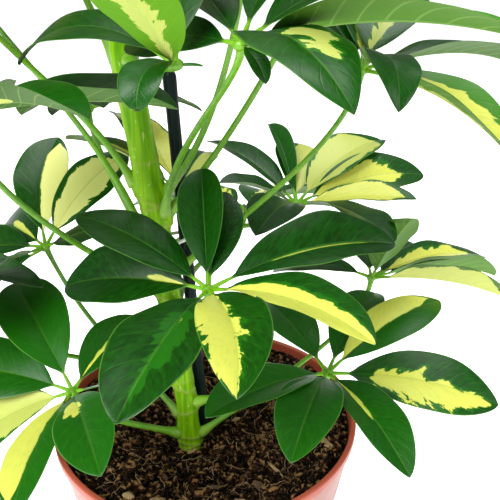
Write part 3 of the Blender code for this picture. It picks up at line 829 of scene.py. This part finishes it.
leaf = {
    "stations": 36, "midribSteps": 90, "tip": 0.9985,
    "across": (0.05, 0.14, 0.28, 0.46, 0.64, 0.8, 0.92, 0.975, 1.0),
    "thick": 0.42, "rib": 0.5, "groove": 0.22,
    "bareShare": 0.13,          # of a leaflet's length is its own thin stalk
    "bareRadius": 0.85,
    "merge": (0.05, 0.04),      # shares before and after bareShare over which stalk turns to blade
    "aspect": 0.41,             # width over length
    "belly": (0.88, 0.74),      # powers that draw the outline, at the foot and at the tip
    "fold": 17, "cup": 0.10, "ripple": 0.035, "waves": 2.6, "twist": 7, "sway": 7, "roll": 6,
    # each leaflet takes these values times a number drawn at random between two, in this order
    "vary": {"aspect": (0.93, 1.07), "fold": (0.6, 1.5), "cup": (0.3, 1.8), "roll": (-1, 1),
             "twist": (-1, 1), "sway": (-1, 1), "ripple": (0.4, 1.6)},
    "stalkRadius": (1.8, 1.15, 1.6), "stalkSteps": 46, "stalkSides": 14,
    "stalkPull": 0.36, "stalkTaper": 35, "stalkSwell": (1.3, 6.5), "stalkNeck": 6,
    "knob": 2.7, "knobRings": 9, "knobSides": 16,
    "patchScale": (13.0, 2.3, 91.0),            # of its noise, along, across and between leaflets
    "patchStart": 0.16, "patchEnd": 0.34,       # share of the length over which it opens and closes
    "veins": 9.0, "veinForward": 0.2, "veinWidth": 0.09, "ribWidth": (0.015, 0.055),
}

leafColours = {
    "night": tint(2, 32, 1), "deep": tint(9, 64, 4), "fresh": tint(30, 116, 4), "zone": tint(30, 104, 12),
    # pale is a paler cream that is also brightened, as painted light, for leaflets that sit in shade
    "yellow": tint(206, 210, 88), "cream": tint(178, 187, 92), "palerWithPaintedLight": tint(236, 238, 146),
    # the lit colour is painted backlight: the bright yellow-green of light shining through a leaflet
    "rib": tint(96, 146, 50), "edge": tint(96, 150, 54), "paintedBacklight": tint(90, 148, 0),
    "under": tint(70, 106, 44), "underYellow": tint(196, 204, 104), "underVein": tint(150, 182, 104),
    "stalk": tint(104, 160, 16), "stalkDark": tint(58, 116, 10), "stalkFoot": tint(150, 186, 70),
}

# how a leaflet is coloured: where the yellow starts and ends along it, its half width, its shift
# towards the right-hand side, how ragged it is, how far a paler green goes beyond it, how fresh
# the green is, and how much painted backlight it gets: a bright yellow-green painted into its colour
# for light shining through
lookNames = ("low", "high", "wide", "shift", "jag", "zone", "fresh", "paintedBacklight")
looks = {
    "plain":    (0, 1, -1.0, 0, 0.0, 0.0, 0.10, 0),
    "fresh":    (0, 1, -1.0, 0, 0.0, 0.0, 0.55, 0),
    "heart":    (0.1, 0.95, -0.14, 0.1, 0.5, 0.36, 0.12, 0),
    "fleck":    (0.0, 0.42, 0.16, 0.2, 0.25, 0.10, 0.15, 0),
    "stripe":   (0.0, 0.9, 0.09, 0.05, 0.10, 0.09, 0.12, 0),
    "line":     (-0.1, 0.8, 0.12, 0.09, 0.06, 0.05, 0.12, 0),
    "centre":   (-0.1, 0.98, 0.50, 0.05, 0.34, 0.12, 0.18, 0),
    "broad":    (-0.2, 1.05, 0.86, 0.0, 0.22, 0.10, 0.25, 0),
    "half":     (-0.2, 1.1, 0.50, 0.52, 0.07, 0.05, 0.22, 0),
    "ragged":   (-0.1, 0.98, 0.42, 0.46, 0.42, 0.12, 0.18, 0),
    # bright: a fresh green with strong painted backlight
    "bright":   (-0.1, 1.2, 0.34, 0.12, 0.45, 0.12, 0.8, 0.8),
}

# each leaf: how high its stalk leaves the stem, its knob, the lean of its whorl (bearing, angle) and
# how steeply the stalk starts; a turn is the bearing it starts at, if not the knob's, and a bow is how
# far it bends below the knob. Then its leaflets: bearing, length, rise, droop, look (plain if none is
# given), and what is special to one. A cream of 1 makes its yellow creamier, and 2 paler and brighter,
# painted light for leaflets that sit in shade; a side of -1 puts the patch on the left-hand side
leaves = {
    "leaf_01": dict(height=152, knob=(-58, -55, 198), lean=(-168, 16), start=35, leaflets=[
        (118, 85, 35, 35, "fresh", dict(aspect=0.42, sway=0, roll=0)),
        (159, 81, 22, 35, "plain", dict(fresh=0.35, roll=-20, twist=0)),
        (-176, 72, 0, 42, "broad", dict(cream=1, roll=-28, twist=0)),
        (-97, 75, 16, 35, "half", dict(fresh=0.5, aspect=0.29)),
        (-64, 74, 20, 35, "fleck",
         dict(fresh=0.45, low=0.04, high=0.62, wide=0.34, shift=0.24, jag=0.35, aspect=0.37, sway=-6)),
        (-8, 44, 8, 20, "fresh", dict(fold=6, roll=-34, twist=0)),
        (60, 55, 18, 35, "line", dict(fresh=0.3, roll=20, twist=0))]),
    "leaf_02": dict(height=150, knob=(91, 15, 222), lean=(71, 20), start=45, turn=-8, leaflets=[
        (9, 76, 20, 35, "fresh", dict(paintedBacklight=0.35, fold=26, roll=-14, twist=0)),
        (23, 81, 26, 36, "centre", dict(wide=0.6, fold=16, roll=8, twist=0)),
        (-26, 77, 12, 30, "broad", dict(cream=1, fold=24, roll=-16, twist=0)), (89, 74, 26, 35),
        (152, 62, 12, 44, "plain", dict(roll=-16, fold=10)),
        (-84, 60, 42, 12, "fresh", dict(paintedBacklight=0.2, twist=0)), (45, 76, 22, 35, "plain", dict(roll=14))]),
    "leaf_03": dict(height=158, knob=(-81, 5, 245), lean=(-167, 34), start=30, turn=140, bow=1.4, leaflets=[
        (84, 79, 35, 35, "half", dict(cream=2, roll=38, twist=0, sway=-16)),
        (46, 73, 16, 35, "broad", dict(wide=0.72, cream=2, roll=42, twist=0)), (126, 77, 18, 35, "line"),
        (156, 76, 23, 35), (178, 75, 2, 35), (-16, 48, 2, 20, "plain", dict(fold=6, roll=2, twist=0)),
        (-112, 70, 31, 35)]),
    "leaf_04": dict(height=172, knob=(60, -60, 212), lean=(-63, 3), start=35, leaflets=[
        (116, 76, 13, 35, "plain", dict(fresh=0.35, aspect=0.38, roll=0)),
        (66, 74, 16, 32, "plain", dict(fresh=0.3, aspect=0.34, roll=0)),
        (37, 77, 24, 35, "half", dict(side=-1, fresh=0.45, roll=4, twist=0, aspect=0.34)),
        (-13, 76, 11, 31, "ragged",
         dict(shift=0.32, wide=0.46, fold=9, roll=12, twist=0, aspect=0.45, low=0.05, high=1.15, sway=0)),
        (-70, 71, 18, 37, "line", dict(fresh=0.3, roll=2, aspect=0.33, twist=0, sway=0)),
        (-107, 73, 24, 35, "plain", dict(fresh=0.35, roll=0, twist=0, sway=0, aspect=0.38)),
        (-138, 71, 24, 35, "plain", dict(fresh=0.5))]),
    "leaf_05": dict(height=187, knob=(-162, -12, 240), lean=(180, 20), start=10, leaflets=[
        (0, 84, -16, 26, "plain", dict(fresh=0.3, sway=0)), (52, 72, 22, 40, "centre"), (104, 76, 20, 40),
        (156, 78, 20, 40, "ragged"), (-152, 76, 18, 40, "fleck"), (-100, 74, 18, 40, "broad"),
        (-48, 66, 14, 40, "heart")]),
    "leaf_06": dict(height=226, knob=(22, 92, 232), lean=(90, 18), start=30, leaflets=[
        (25, 74, 20, 40), (76, 78, 20, 40, "ragged"), (128, 76, 20, 40, "centre"), (180, 74, 18, 40),
        (-128, 62, 12, 40), (-72, 56, 8, 40)]),
    "leaf_07": dict(height=232, knob=(8, -75, 263), lean=(-120, 6), start=25, leaflets=[
        (93, 58, 41, 18, "plain", dict(fold=40, fresh=0.2, roll=-8, twist=0, aspect=0.44, sway=0)),
        (18, 84, 18, 37, "stripe",
         dict(low=0.1, high=1.1, wide=0.05, shift=0.1, jag=0.04, fold=28, roll=9, twist=0, aspect=0.44,
              belly=(1.0, 0.72))),
        (-36, 78, 21, 40, "ragged",
         dict(shift=0.36, wide=0.72, jag=0.16, high=1.3, aspect=0.33, roll=0, fold=28, twist=0)),
        (-71, 76, 20, 35, "ragged",
         dict(shift=0.46, wide=0.54, jag=0.42, high=1.2, roll=0, twist=0, sway=-26, aspect=0.38)),
        (-108, 78, 14, 37, "heart", dict(aspect=0.46, side=-1, zone=0.5, wide=-0.2, roll=0, twist=0)),
        (163, 70, 6, 33, "line", dict(high=0.55, roll=-28, twist=0, aspect=0.44)),
        (151, 67, 32, 30, "plain", dict(aspect=0.42)),
        (80, 50, 34, 18, "plain", dict(fold=20, roll=14, twist=0, sway=0))]),
    "leaf_08": dict(height=240, knob=(-82, -70, 333), lean=(160, 4), start=40, leaflets=[
        (-2, 82, 7, 20, "plain", dict(fold=29, roll=-1, twist=0, cup=0.02)),
        (-36, 70, 17, 34, "line", dict(fresh=0.3, fold=31, roll=-8, twist=0, high=0.7, cup=0.02)),
        (94, 66, 9, 35), (-78, 78, 7, 35, "centre"), (143, 77, 20, 35, "ragged"), (-128, 76, 16, 40),
        (-176, 76, 18, 40, "half")]),
    "leaf_09": dict(height=250, knob=(50, 30, 259), lean=(-4, 10), start=30, turn=85, leaflets=[
        (50, 80, 36, 35, "broad", dict(cream=1)),
        (20, 79, 30, 35, "centre", dict(wide=0.52, roll=20, twist=0)),
        (-10, 64, 25, 22, "broad", dict(roll=8, twist=0)), (-55, 74, 26, 40), (-111, 70, 20, 35),
        (143, 70, 26, 35), (105, 78, 31, 35, "plain", dict(fold=46, aspect=0.22, fresh=0.3)),
        (93, 66, 28, 35, "half", dict(cream=1, roll=0, twist=0)), (-160, 48, 26, 30)]),
    "leaf_10": dict(height=270, knob=(-11, 8, 275), lean=(46, 19), start=10, turn=110, leaflets=[
        (160, 72, 23, 35, "stripe", dict(wide=0.2)), (130, 78, 36, 35, "broad"),
        (104, 68, 24, 35, "half", dict(side=-1, cream=1, aspect=0.36)),
        (82, 64, 31, 35, "half", dict(cream=1, aspect=0.33))]),
    "leaf_11": dict(height=250, knob=(-54, 14, 315), lean=(120, 6), start=58, turn=140, leaflets=[
        (10, 58, 15, 50), (-62, 28, 28, 50, "plain", dict(aspect=0.6)),
        (-118, 26, 23, 50, "plain", dict(aspect=0.6)), (60, 60, 15, 50, "centre"), (102, 62, 15, 50),
        (145, 54, 15, 50, "ragged")]),
    "leaf_12": dict(height=247, knob=(72, -25, 341), lean=(-32, 13), start=42, leaflets=[
        (-84, 62, 42, 95, "plain",
         dict(fresh=0.25, aspect=0.35, belly=(0.8, 0.85), roll=0, twist=0, sway=0)),
        (-50, 79, 12, 40, "stripe",
         dict(fold=32, wide=0.32, shift=-0.16, high=1.15, zone=0.5, fresh=0.7, paintedBacklight=0.3, jag=0.2,
              twist=0, aspect=0.36)),
        (14, 77, 24, 40, "plain", dict(fold=28, roll=-16, twist=0)),
        (72, 77, 34, 40, "centre", dict(cream=1, wide=0.3)), (88, 77, 25, 40, "centre"),
        (112, 72, 21, 40)]),
    "leaf_13": dict(height=277, knob=(22, -90, 361), lean=(-125, 11), start=79, turn=-40, bow=0.35,
                    leaflets=[
        (-66, 74, 27, 66, "ragged",
         dict(side=-1, low=0.2, high=0.9, wide=0.34, shift=0.36, cream=1, aspect=0.4, belly=(0.8, 0.9),
              fold=12, roll=-8, twist=0)),
        (-35, 92, 18, 29, "heart",
         dict(fresh=0.9, paintedBacklight=0.25, wide=-0.4, zone=0.5, fold=26, roll=-20, twist=0, aspect=0.42)),
        (30, 76, 22, 40), (69, 78, 29, 40, "plain", dict(aspect=0.28)), (112, 58, 24, 40),
        (146, 54, 7, 30, "plain", dict(roll=-22, fold=2, cup=0.02, twist=0)),
        (-60, 18, -8, 60, "plain", dict(roll=0, twist=0))]),
    "leaf_14": dict(height=290, knob=(-102, -24, 392), lean=(-150, 14), start=66, leaflets=[
        (-30, 66, 18, 40), (-76, 74, 14, 40, "ragged"), (-128, 76, 18, 40), (176, 76, 16, 40, "centre"),
        (124, 76, 18, 40), (72, 70, 22, 40, "half"), (22, 60, 22, 40, "fleck")]),
    "leaf_15": dict(height=264, knob=(-122, 30, 404), lean=(150, 16), start=76, turn=190, leaflets=[
        (-28, 50, 20, 40), (24, 74, 20, 40, "heart"), (76, 76, 18, 40, "broad"), (128, 78, 18, 40),
        (180, 76, 16, 40, "ragged", dict(side=-1)), (-128, 72, 18, 40), (-78, 60, 20, 40, "line")]),
    "leaf_16": dict(height=346, knob=(0.8, -95, 355.7), lean=(-81, 2), start=4, bow=0.1, leaflets=[
        (-101, 78, 38, 20, "bright",
         dict(aspect=0.29, belly=(0.76, 0.8), twist=0, roll=8, fold=12, sway=0, bare=0.04)),
        (-126, 28, 22, 116, "plain", dict(aspect=0.58, fresh=0.2, twist=0, sway=28, roll=0, bare=0.06)),
        (6, 9, 0, 8, "fresh", dict(aspect=0.35)),
        (160, 67, 30, 84, "plain", dict(sway=0, roll=-16, twist=0, fold=8, aspect=0.36)),
        (84, 60, 56, 24)]),
    "leaf_17": dict(height=287, knob=(28.5, -60, 438), lean=(-60, 12), start=48, turn=-8, bow=0.3,
                    leaflets=[
        (-75, 74, 16, 40), (-20, 76, 18, 40), (32, 74, 18, 40, "heart"), (84, 70, 20, 40),
        (136, 66, 20, 40, "centre"), (-132, 70, 16, 40)]),
    "leaf_18": dict(height=277, knob=(69, -42, 427), lean=(-20, 14), start=48, turn=-4, bow=0.3, leaflets=[
        (-62, 72, 14, 40), (-10, 76, 16, 40), (42, 74, 18, 40), (94, 68, 20, 40, "ragged"),
        (150, 56, 24, 40), (-98, 60, 16, 40, "fleck")]),
    "leaf_19": dict(height=344, knob=(-76, 22, 452), lean=(165, 14), start=50, leaflets=[
        (-30, 62, 22, 40), (22, 50, 20, 40, "centre"), (74, 70, 18, 40), (126, 76, 16, 40, "half"),
        (178, 76, 14, 40), (-130, 60, 16, 40, "heart"), (-80, 44, 18, 40)]),
}

# the crown above: each leaf turned on by one step, nearer the stem, steeper and smaller
crown = {
    "count": 5, "first": 20, "turn": 137.5, "bearing": 64,
    "heights": (405, 506), "reach": (74, 14), "lift": (58, 40),
    "lengths": (70, 40), "rise": (22, 56), "leaflets": (7, 5), "droop": 38, "lean": 14, "start": 50,
    "looks": ("plain", "centre", "heart", "ragged", "fleck", "broad", "half"),
}


def crownLeaves():
    made = {}
    for index in range(crown["count"]):
        share = index / (crown["count"] - 1)
        height, reach, lift, length, rise, number = (
            low + share * (high - low) for low, high in
            (crown[name] for name in ("heights", "reach", "lift", "lengths", "rise", "leaflets")))
        bearing = crown["bearing"] + crown["turn"] * index
        knob = stemPoint(height) + aroundZ(reach, math.radians(bearing), lift)
        spread = 360 / round(number)
        leaflets = []
        for place in range(round(number)):
            long = (1 + 0.1 * math.cos(math.radians(spread * place))) * length
            look = crown["looks"][(3 * index + 2 * place) % len(crown["looks"])]
            leaflets.append((bearing + spread * place, long, rise, crown["droop"], look))
        made[f"leaf_{crown['first'] + index:02d}"] = dict(
            height=height, knob=knob, lean=(bearing, crown["lean"]), start=crown["start"], leaflets=leaflets)
    return made


def whorlTurn(lean):
    # rotation that lays the upright axis over by an angle towards a bearing (Rodrigues' formula)
    bearing, angle = np.radians(lean)
    hinge = np.array([-math.sin(bearing), math.cos(bearing), 0])
    cross = np.array([[0, -hinge[2], hinge[1]], [hinge[2], 0, -hinge[0]], [-hinge[1], hinge[0], 0]])
    return np.eye(3) + math.sin(angle) * cross + (1 - math.cos(angle)) * cross @ cross


def headings(bearing, slope):
    # unit directions that point along a bearing and up by a slope
    return np.stack([np.cos(slope) * np.cos(bearing), np.cos(slope) * np.sin(bearing), np.sin(slope)], -1)


def readAt(share, steps, rows):
    # rows of x, y, z given at even steps, read between them
    return np.stack([np.interp(share, steps, rows[:, index]) for index in range(3)], -1)


def midrib(share, knob, turn, row, sway, bare):
    # points and directions along a leaflet. Steps of equal length whose slope is
    # rise - droop * share^1.25, past the middle of the bare stalk, and whose bearing swings by
    # sway * share^2, read at the shares wanted
    bearing, length, rise, droop = row
    step = np.linspace(0, 1, leaf["midribSteps"] + 1)
    middle = (step[1:] + step[:-1]) / 2
    past = np.clip((middle - bare / 2) / (1 - bare / 2), 0, 1)
    slope = np.radians(rise - droop * past ** 1.25)
    ahead = headings(np.radians(bearing + sway * middle ** 2), slope) @ turn.T
    path = knob + np.concatenate([[np.zeros(3)], np.cumsum(ahead * length / leaf["midribSteps"], 0)])
    return readAt(share, step, path), unitRows(readAt(share, middle, ahead))


def leafletSettings(look, special, pick):
    # the look's colours and a shape varied at random, then what is special to this leaflet
    settings = dict(zip(lookNames, looks[look]), cream=0, side=1, belly=leaf["belly"], bare=leaf["bareShare"])
    for name, span in leaf["vary"].items():
        settings[name] = leaf[name] * pick.uniform(*span)
    return settings | special


def leafletRings(knob, turn, leaflet, pick):
    # side = share across the blade, -1 to 1, over the top and back under. The blade's edge is at
    # width * share^p * (1 - share)^q; each half is lifted by fold, drops by cup and ripples along
    # its edge. The bare stalk is a round bar that flattens into the blade
    bearing, length, rise, droop, look, special = leaflet + ("plain", {})[len(leaflet) - 4:]
    settings = leafletSettings(look, special, pick)
    bareShare = settings["bare"]
    even = np.linspace(0, 1, leaf["stations"])
    share = 0.55 * even + 0.45 * (0.5 - 0.5 * np.cos(np.pi * even))
    share[-1] = leaf["tip"]     # just short of 1, where the blade has no width
    along, forward = midrib(share, knob, turn, (bearing, length, rise, droop), settings["sway"], bareShare)
    across = unitRows(np.cross(forward, turn[:, 2]))
    normal = np.cross(across, forward)
    roll = np.radians(settings["roll"] + settings["twist"] * share)[:, None]
    across, normal = (np.cos(roll) * across - np.sin(roll) * normal,
                      np.cos(roll) * normal + np.sin(roll) * across)

    share = share[:, None]
    blade = np.clip((share - bareShare) / (1 - bareShare), 0, 1)
    p, q = settings["belly"]
    tallest = (p / (p + q)) ** p * (q / (p + q)) ** q
    outline = settings["aspect"] * length / 2 * blade ** p * (1 - blade) ** q / tallest
    before, after = leaf["merge"]
    flat = smoothStep(bareShare - before, bareShare + after, share)
    bare = leaf["bareRadius"] * (1.25 - 0.25 * smoothStep(0, 0.08, share))
    half = np.maximum(outline * flat, bare * (1 - flat) + 0.35 * flat * (1 - blade))

    right = np.array(leaf["across"])
    top = np.concatenate([-right[::-1], [0], right])
    side = np.concatenate([top, top[-2:0:-1]])
    under = np.arange(len(side)) >= len(top)
    away = np.abs(side)
    phase = pick.uniform(0, 2 * np.pi, 2)
    wave = np.sin(2 * np.pi * leaf["waves"] * share + np.where(side > 0, phase[0], phase[1]))
    fold = np.radians(settings["fold"]) * flat
    lift = (away * half * np.sin(fold) - settings["cup"] * half * away ** 2 * flat
            + settings["ripple"] * half * away ** 3 * wave * flat)
    rib = bell(side * half, 1.1) * (1 - 0.75 * blade)
    thick = leaf["thick"] / 2 * (1 - 0.7 * away ** 8)
    skin = np.where(under, -(thick + leaf["rib"] * rib), thick - leaf["groove"] * rib)
    skin = np.where(away >= 1, 0, skin)
    bar = np.where(under, -bare, bare) * np.sqrt(1 - side ** 2)
    height = lift + skin * flat + bar * (1 - flat)
    reach = side * half * np.cos(fold)
    rings = along[:, None] + reach[..., None] * across[:, None] + height[..., None] * normal[:, None]

    shown = np.where(away >= 1, 0.5, 1 - under)
    place = np.stack(np.broadcast_arrays((share - bareShare) / (1 - bareShare), side, shown), -1)
    marks = dict(place=place, patch=[settings[name] for name in ("low", "high", "wide")],
                 more=(settings["shift"] * settings["side"], settings["zone"], settings["jag"]),
                 tone=(settings["fresh"], settings["paintedBacklight"] + 2 * settings["cream"], pick.uniform(0, 1)))
    return rings, marks


def stalkRings(knob, turn, foot, bearing, start, bow):
    # a cubic curve that leaves the stem rising and comes up into the knob from below; its radius
    # swells at the foot and again under the knob
    pull = np.linalg.norm(knob - foot) * leaf["stalkPull"]
    arriving = unitRows(turn[:, 2] + (0, 0, 1))
    path = bezier((foot, foot + pull * headings(bearing, math.radians(start)),
                   knob - bow * pull * arriving, knob), leaf["stalkSteps"])
    length = np.concatenate([[0], np.cumsum(np.linalg.norm(np.diff(path, axis=0), axis=1))])
    base, middle, end = leaf["stalkRadius"]
    swell, swellLong = leaf["stalkSwell"]
    radius = middle + (base - middle) * np.exp(-length / leaf["stalkTaper"]) + swell * bell(length, swellLong)
    radius = radius + (end - middle) * bell(length[-1] - length, leaf["stalkNeck"])
    place = (length / length[-1])[:, None, None]
    return (tubeRings(path, radius, leaf["stalkSides"]),
            np.broadcast_to(place, (len(path), leaf["stalkSides"], 3)))


def knobRings(knob, turn):
    # a button: circles whose radius follows a squashed half turn, square to the whorl
    turnUp = np.linspace(-0.48, 0.48, leaf["knobRings"])[:, None] * np.pi
    angle = fullTurn(leaf["knobSides"])
    radius = leaf["knob"] * np.cos(turnUp) * (1 + 0.08 * np.cos(5 * angle))
    return knob + aroundZ(radius, angle, 0.8 * leaf["knob"] * np.sin(turnUp)) @ turn.T


def makeBladeMaterial():
    material, shader, place = newMaterial("variegatedBlade")
    along, across, top = attribute(place, "place")
    low, high, wide = attribute(place, "patch")
    shift, zone, jag = attribute(place, "more")
    # the second number of tone is the painted backlight plus twice the cream level; the cream levels are
    # split off from it
    fresh, paintedBacklightAndCream, seed = attribute(place, "tone")
    cream, palerWithPaintedLight = calc("GREATER_THAN", paintedBacklightAndCream, 1.5), calc("GREATER_THAN", paintedBacklightAndCream, 3.5)
    paintedBacklight = paintedBacklightAndCream - (cream + palerWithPaintedLight) * 2.0
    away = abs(across)

    # side veins run forward as they go outwards, so colour and relief follow the slant
    slant = along - away * leaf["veinForward"]
    spot = joined(*(value * scale for value, scale in zip((slant, across, seed), leaf["patchScale"])))
    lobes = (noise(spot, 0.42, 1.0) - 0.5) * 0.9
    ragged = noise(spot, 1.0, 4.0, 0.62) - 0.5 + lobes
    cells = noise(spot, 2.6, 2.0)

    # the yellow is where a point is inside the patch's ragged edge, and the paler green round it
    window = ease(along - low, 0.0, leaf["patchStart"]) * ease(high - along, 0.0, leaf["patchEnd"])
    inside = wide * window - (1.0 - window) * 0.6 - abs(across - shift) + ragged * jag * 2.4
    yellow = ease(inside, -0.015, 0.02)
    around = ease(inside + zone, -0.02, 0.05)

    # side veins as thin lines at even steps along the blade, and the midrib as one
    line = abs(calc("FRACT", slant * leaf["veins"]) - 0.5)
    vein = ease(line, 0.0, leaf["veinWidth"], 1.0, 0.0) * ease(away, 0.75, 1.0, 1.0, 0.0)
    rib = ease(away, *leaf["ribWidth"], 1.0, 0.0)
    edge = ease(away, 0.95, 0.985)

    colours = leafColours
    green = blend(ease(cells, 0.3, 0.7), colours["night"], colours["deep"])
    green = blend(fresh, green, colours["fresh"])
    green = blend(vein * 0.05, green, colours["rib"])
    creamy = calc("MAXIMUM", cream, ease(cells, 0.45, 0.75, 0.0, 0.4))
    patch = blend(creamy, colours["yellow"], colours["cream"])
    # paler cream, partly painted light: brightened for leaflets that sit in shade
    patch = blend(palerWithPaintedLight, patch, colours["palerWithPaintedLight"])
    upper = blend(around * 0.75, green, colours["zone"])
    upper = blend(yellow, upper, patch)
    upper = blend(rib * 0.2, upper, colours["rib"])
    upper = blend(edge * 0.5, upper, colours["edge"])
    lower = blend(yellow * 0.85, colours["under"], colours["underYellow"])
    lower = blend(calc("MAXIMUM", vein, rib) * 0.35, lower, colours["underVein"])
    face = blend(ease(top, 0.35, 0.65), lower, upper)
    # painted backlight: the face is pushed towards a bright yellow-green, less so on the yellow, as if light
    # shone through the leaflet
    face = blend(paintedBacklight * (1.0 - yellow * 0.85), face, colours["paintedBacklight"])
    face = blend(ease(along, -0.03, 0.03, 1.0, 0.0), face, colours["stalk"])

    relief = cells * 0.35 - (vein * 0.35 + rib * 0.5) * 0.6 + noise(place, 1600.0, 2.0) * 0.12
    setInputs(shader, Base_Color=face, Roughness=ease(top, 0.35, 0.65, 0.52, 0.30) + cells * 0.1,
              Specular_IOR_Level=0.24, Normal=bump(relief, 0.35, 0.0006))
    return material


def makeStalkMaterial():
    material, shader, place = newMaterial("leafStalk")
    change = maskOf(mottle, place, Broad=30.0, Fine=420.0)
    foot = ease(attribute(place, "place")[0], 0.0, 0.12, 0.5, 0.0)
    colour = blend(change * 0.7, leafColours["stalk"], leafColours["stalkDark"])
    setInputs(shader, Base_Color=blend(foot, colour, leafColours["stalkFoot"]),
              Roughness=ease(change, 0, 1, 0.34, 0.48), Normal=bump(noise(place, 800.0, 3.0), 0.3, 0.0004))
    return material


def makeLeaf(name, made, materials, seed):
    pick = np.random.default_rng(seed)
    knob = np.array(made["knob"], float)
    turn = whorlTurn(made["lean"])
    middle = stemPoint(made["height"])
    bearing = math.atan2(knob[1] - middle[1], knob[0] - middle[0])
    if "turn" in made:
        bearing = math.radians(made["turn"])
    foot = middle + aroundZ(stemAt(made["height"], 3) + 0.4, bearing, 0)
    shape = Shape("place", "patch", "more", "tone")
    for leaflet in made["leaflets"]:
        rings, marks = leafletRings(knob, turn, leaflet, pick)
        shape.addTube(rings * mm, 0, **marks)
    rings, place = stalkRings(knob, turn, foot, bearing, made["start"], made.get("bow", 0.7))
    shape.addTube(rings * mm, 1, place=place)
    shape.addTube(knobRings(knob, turn) * mm, 1, place=(1, 0, 0))
    piece = shape.build(name.replace("leaf_", "umbrellaLeaf"), materials)
    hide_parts(name)
    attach(piece, "root")
    return made["height"], bearing


leafMaterials = [makeBladeMaterial(), makeStalkMaterial()]
leafFeet = [makeLeaf(name, made, leafMaterials, 100 + index)
            for index, (name, made) in enumerate((leaves | crownLeaves()).items())]
makeStem(leafFeet)
print("stem and", len(leafFeet), "leaves made")
